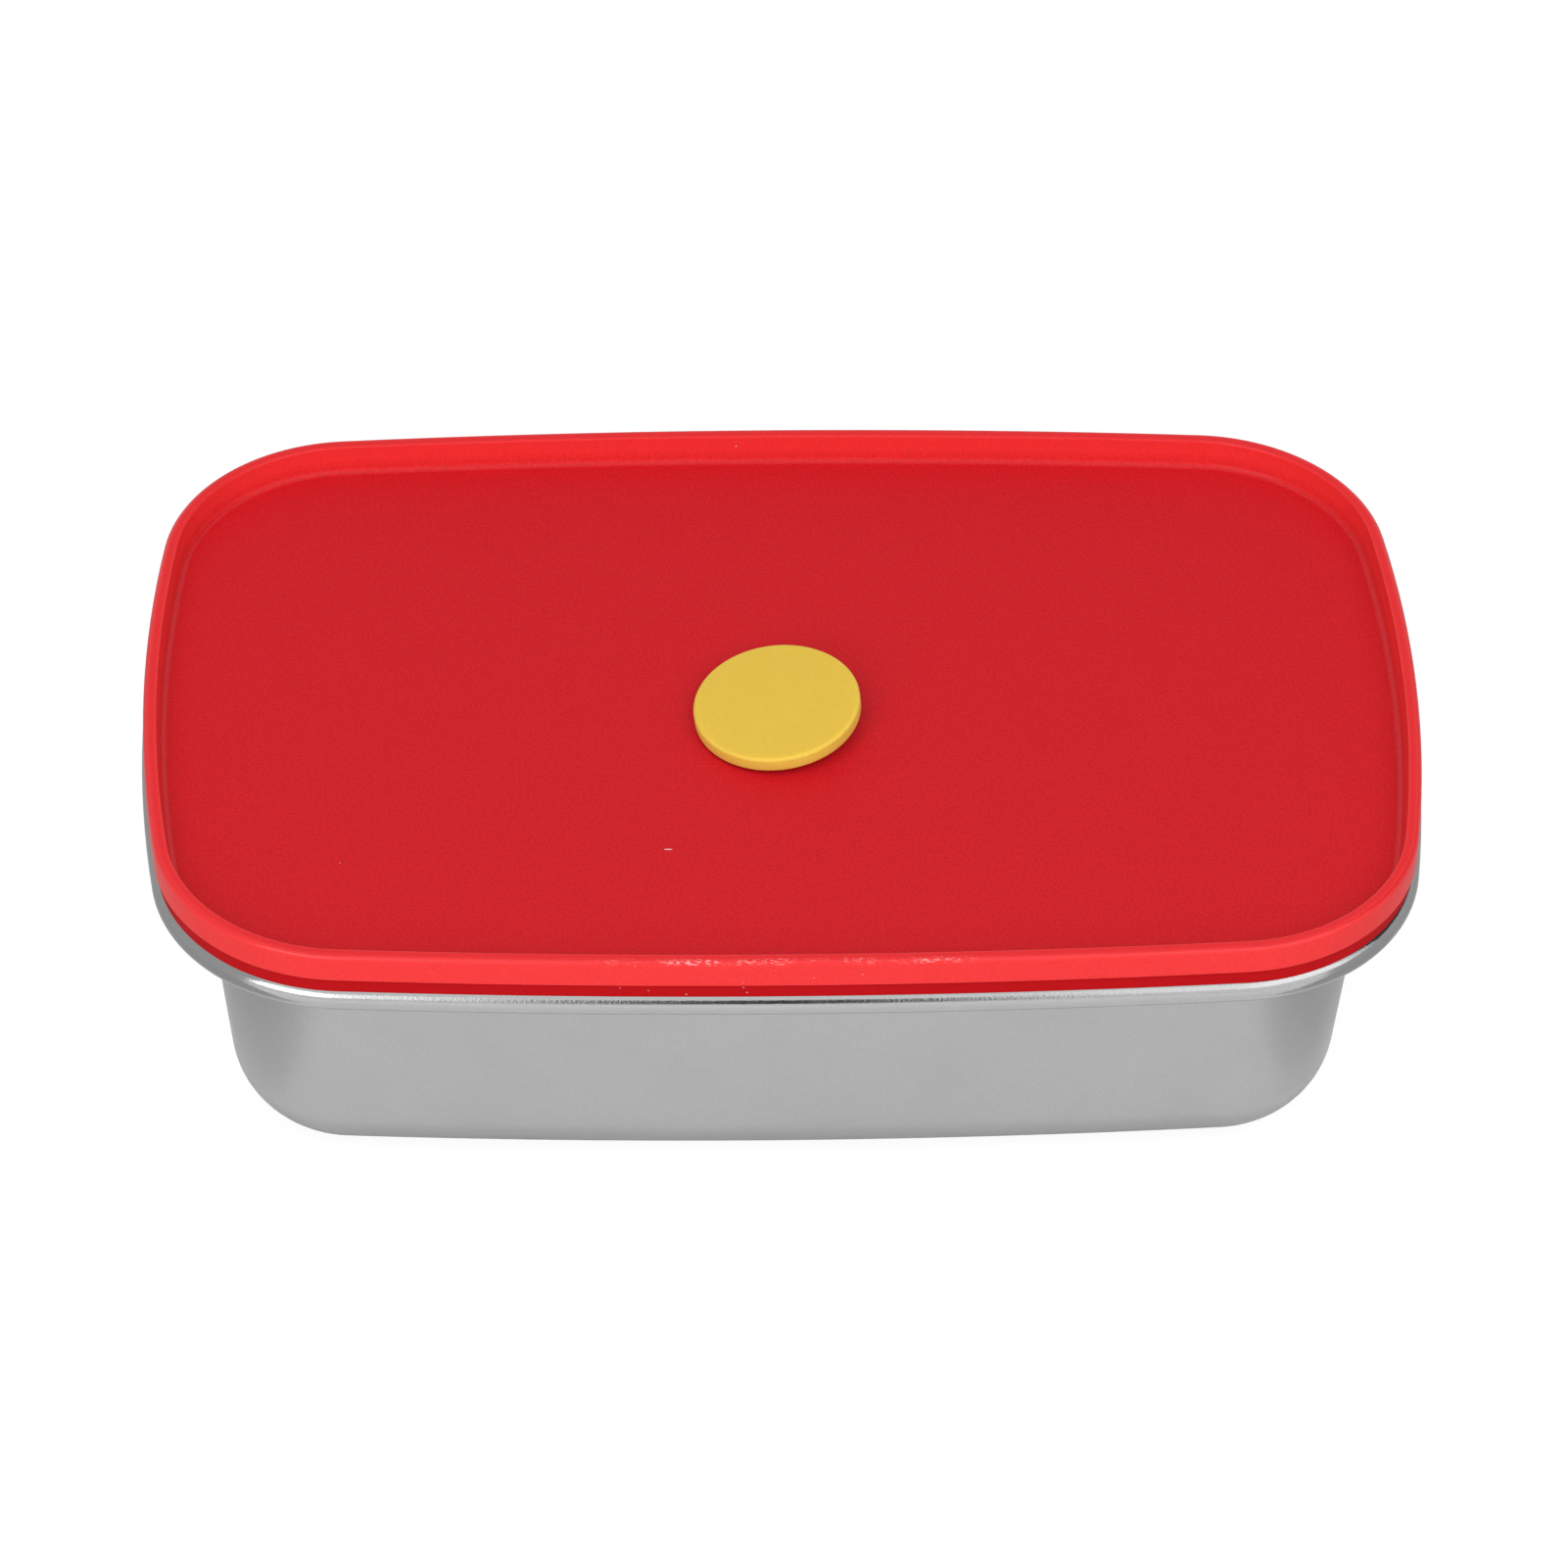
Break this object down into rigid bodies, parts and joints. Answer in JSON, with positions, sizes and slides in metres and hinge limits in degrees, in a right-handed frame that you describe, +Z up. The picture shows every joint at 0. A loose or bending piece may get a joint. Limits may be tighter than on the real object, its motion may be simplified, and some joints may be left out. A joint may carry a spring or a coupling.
{
  "type": "metal lunch box",
  "caption": "Shallow steel food box with bowed sides and a rolled rim, closed by a press-in plastic lid with a sealing ring and a round soft vent plug.",
  "frame": {"origin": "middle of the base, on the table", "axes": "+X along the length, +Y towards the back long side, +Z up through the lid"},
  "size_m": [0.201, 0.129, 0.0577],
  "materials": {
    "steel": "satin",
    "lid": "matte",
    "seal": "matte",
    "plug": "matte"
  },
  "bodies": {
    "container": {"container_body": "steel"},
    "lid": {"lid": "lid", "seal_ring": "seal"},
    "vent_plug": {"vent_plug": "plug"}
  },
  "joints": [
    {"name": "lid_lift", "type": "slide", "parent": "container", "child": "lid", "axis": [0, 0, 1], "range_m": [0, 0.06]},
    {"name": "vent_plug_lift", "type": "slide", "parent": "lid", "child": "vent_plug", "axis": [-0.1117, -0.0442, 0.9928], "range_m": [0, 0.003]}
  ]
}
